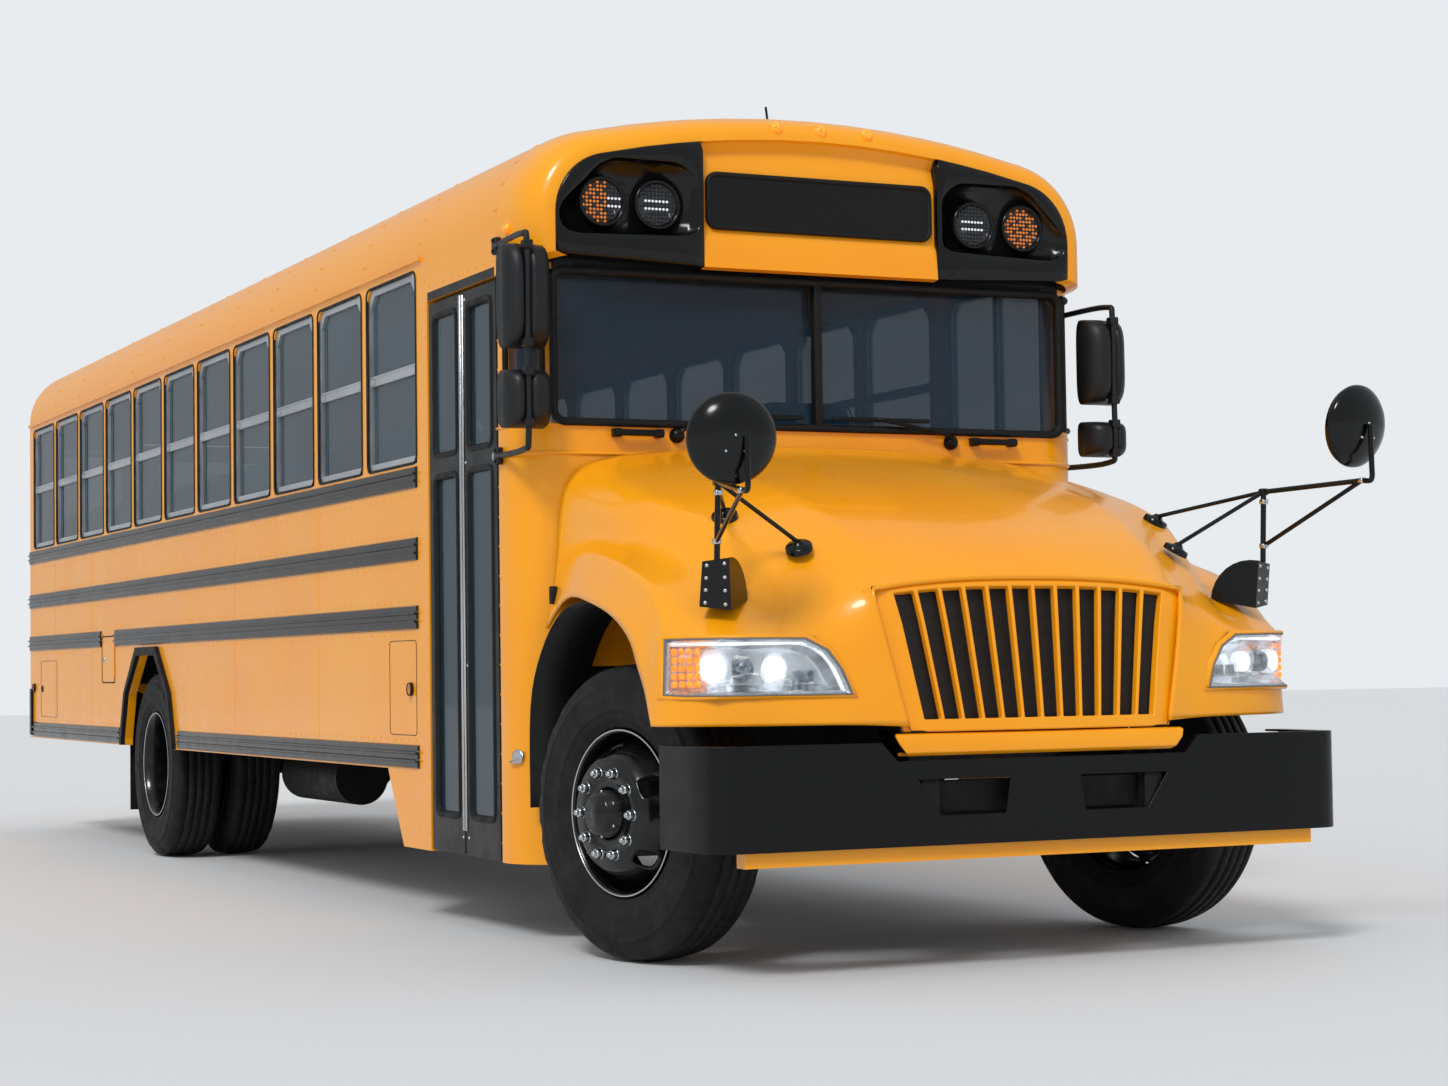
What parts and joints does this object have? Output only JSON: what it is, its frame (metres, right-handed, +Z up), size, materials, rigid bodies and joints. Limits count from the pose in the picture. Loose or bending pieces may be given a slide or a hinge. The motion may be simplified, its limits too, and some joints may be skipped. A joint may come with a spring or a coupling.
{
  "type": "school bus",
  "caption": "Long-wheelbase school bus with a forward-tilting hood, a two-leaf entrance door, a rear emergency door, steered front wheels and dual rear wheels.",
  "frame": {"origin": "on the ground, at the centre of the bus seen from above, mirrors included", "axes": "+Z up, the front faces -Y, the entrance door is on the -X side"},
  "size_m": [2.664, 10.9912, 3.3012],
  "materials": {
    "paint": "glossy school-bus yellow enamel",
    "roof_paint": "glossy white enamel",
    "black_paint": "satin black enamel",
    "chassis_paint": "chassis black, semi-gloss",
    "engine_paint": "painted casting",
    "galvanised": "aluminised steel tube",
    "floor_rubber": "ribbed floor covering on plywood and steel",
    "sash_aluminium": "anodised aluminium",
    "tinted_glass": "tinted safety glass",
    "windscreen_glass": "laminated glass",
    "rub_rail": "black-painted pressed rail",
    "black_rubber": "moulded rubber",
    "black_plastic": "glossy moulded plastic",
    "lamp_lens": "moulded lens",
    "headlamp": "clear lens over a bright reflector",
    "seat_vinyl": "coated seat cloth",
    "dash_plastic": "grained moulding",
    "tyre_rubber": "tyre rubber",
    "wheel_paint": "gloss black enamel",
    "stop_red": "red enamel"
  },
  "bodies": {
    "chassis_and_body": {"chassis_rails": "chassis_paint", "cross_members": "chassis_paint", "tow_plates": "chassis_paint", "front_axle": "chassis_paint", "rear_axle": "chassis_paint", "leaf_springs": "chassis_paint", "engine_block": "engine_paint", "driveline": "engine_paint", "fuel_tank": "chassis_paint", "air_tanks": "chassis_paint", "exhaust_pipe": "galvanised", "floor": "floor_rubber", "wheel_boxes": "floor_rubber", "stepwell": "floor_rubber", "right_side_wall": "paint", "left_side_wall": "paint", "rear_wall": "paint", "roof": "roof_paint", "front_cap": "paint", "cowl": "paint", "windscreen": "windscreen_glass", "window_sashes": "sash_aluminium", "window_glass": "tinted_glass", "rub_rails": "rub_rail", "wheel_arch_trims": "black_rubber", "lamp_pods": "black_plastic", "body_lamps": "lamp_lens", "front_bumper": "black_paint", "bumper_strip": "paint", "rear_bumper": "black_paint", "mud_flaps": "black_rubber", "passenger_seats": "seat_vinyl", "driver_seat": "seat_vinyl", "dashboard": "dash_plastic", "steering_wheel": "black_plastic", "side_mirrors": "black_plastic", "antenna": "black_plastic"},
    "hood": {"hood": "paint", "grille": "paint", "headlights": "headlamp", "crossview_mirrors": "black_plastic"},
    "entrance_front_leaf": {"entrance_door_front_leaf": "black_paint"},
    "entrance_rear_leaf": {"entrance_door_rear_leaf": "black_paint"},
    "rear_door": {"rear_door": "paint"},
    "front_hatch": {"roof_hatch_front": "roof_paint"},
    "rear_hatch": {"roof_hatch_rear": "roof_paint"},
    "stop_arm": {"stop_arm": "stop_red"},
    "fuel_door": {"fuel_door": "paint"},
    "right_knuckle": {"knuckle_right": "chassis_paint"},
    "left_knuckle": {"knuckle_left": "chassis_paint"},
    "front_right_wheel": {"front_right_tyre": "tyre_rubber", "front_right_rim": "wheel_paint"},
    "front_left_wheel": {"front_left_tyre": "tyre_rubber", "front_left_rim": "wheel_paint"},
    "rear_right_wheels": {"rear_right_tyres": "tyre_rubber", "rear_right_rims": "wheel_paint"},
    "rear_left_wheels": {"rear_left_tyres": "tyre_rubber", "rear_left_rims": "wheel_paint"}
  },
  "joints": [
    {"name": "hood_tilt", "type": "hinge", "parent": "chassis_and_body", "child": "hood", "pos_m": [0, -5.13, 0.81], "axis": [1, 0, 0], "range_deg": [0, 70]},
    {"name": "entrance_front_leaf_swing", "type": "hinge", "parent": "chassis_and_body", "child": "entrance_front_leaf", "pos_m": [-1.219, -3.394, 1.38], "axis": [0, 0, 1], "range_deg": [0, 85]},
    {"name": "entrance_rear_leaf_swing", "type": "hinge", "parent": "chassis_and_body", "child": "entrance_rear_leaf", "pos_m": [-1.219, -2.628, 1.38], "axis": [0, 0, -1], "range_deg": [0, 85]},
    {"name": "rear_door_swing", "type": "hinge", "parent": "chassis_and_body", "child": "rear_door", "pos_m": [-0.468, 5.411, 1.76], "axis": [0, 0, 1], "range_deg": [0, 110]},
    {"name": "front_hatch_lift", "type": "hinge", "parent": "chassis_and_body", "child": "front_hatch", "pos_m": [0, -0.992, 3.16], "axis": [1, 0, 0], "range_deg": [0, 75]},
    {"name": "rear_hatch_lift", "type": "hinge", "parent": "chassis_and_body", "child": "rear_hatch", "pos_m": [0, 2.308, 3.16], "axis": [1, 0, 0], "range_deg": [0, 75]},
    {"name": "stop_arm_swing", "type": "hinge", "parent": "chassis_and_body", "child": "stop_arm", "pos_m": [1.259, -2.33, 1.37], "axis": [0, 0, -1], "range_deg": [0, 90]},
    {"name": "fuel_door_swing", "type": "hinge", "parent": "chassis_and_body", "child": "fuel_door", "pos_m": [-1.222, 2.925, 1.095], "axis": [0, 0, 1], "range_deg": [0, 100]},
    {"name": "steer_right", "type": "hinge", "parent": "chassis_and_body", "child": "right_knuckle", "pos_m": [-0.9, -4.3, 0.508], "axis": [0, 0, 1], "range_deg": [-58.5, 31.5]},
    {"name": "steer_left", "type": "hinge", "parent": "chassis_and_body", "child": "left_knuckle", "pos_m": [0.9, -4.3, 0.508], "axis": [0, 0, 1], "range_deg": [-58.5, 31.5]},
    {"name": "front_right_spin", "type": "hinge", "parent": "right_knuckle", "child": "front_right_wheel", "pos_m": [-0.9, -4.3, 0.508], "axis": [0.9724, 0.2334, 0], "continuous": true},
    {"name": "front_left_spin", "type": "hinge", "parent": "left_knuckle", "child": "front_left_wheel", "pos_m": [0.9, -4.3, 0.508], "axis": [0.9724, 0.2334, 0], "continuous": true},
    {"name": "rear_right_spin", "type": "hinge", "parent": "chassis_and_body", "child": "rear_right_wheels", "pos_m": [-0.898, 2.1, 0.508], "axis": [1, 0, 0], "continuous": true},
    {"name": "rear_left_spin", "type": "hinge", "parent": "chassis_and_body", "child": "rear_left_wheels", "pos_m": [0.898, 2.1, 0.508], "axis": [1, 0, 0], "continuous": true}
  ],
  "couplings": [
    {"joint": "steer_left", "follows": "steer_right", "ratio": 1},
    {"joint": "entrance_rear_leaf_swing", "follows": "entrance_front_leaf_swing", "ratio": 1}
  ]
}
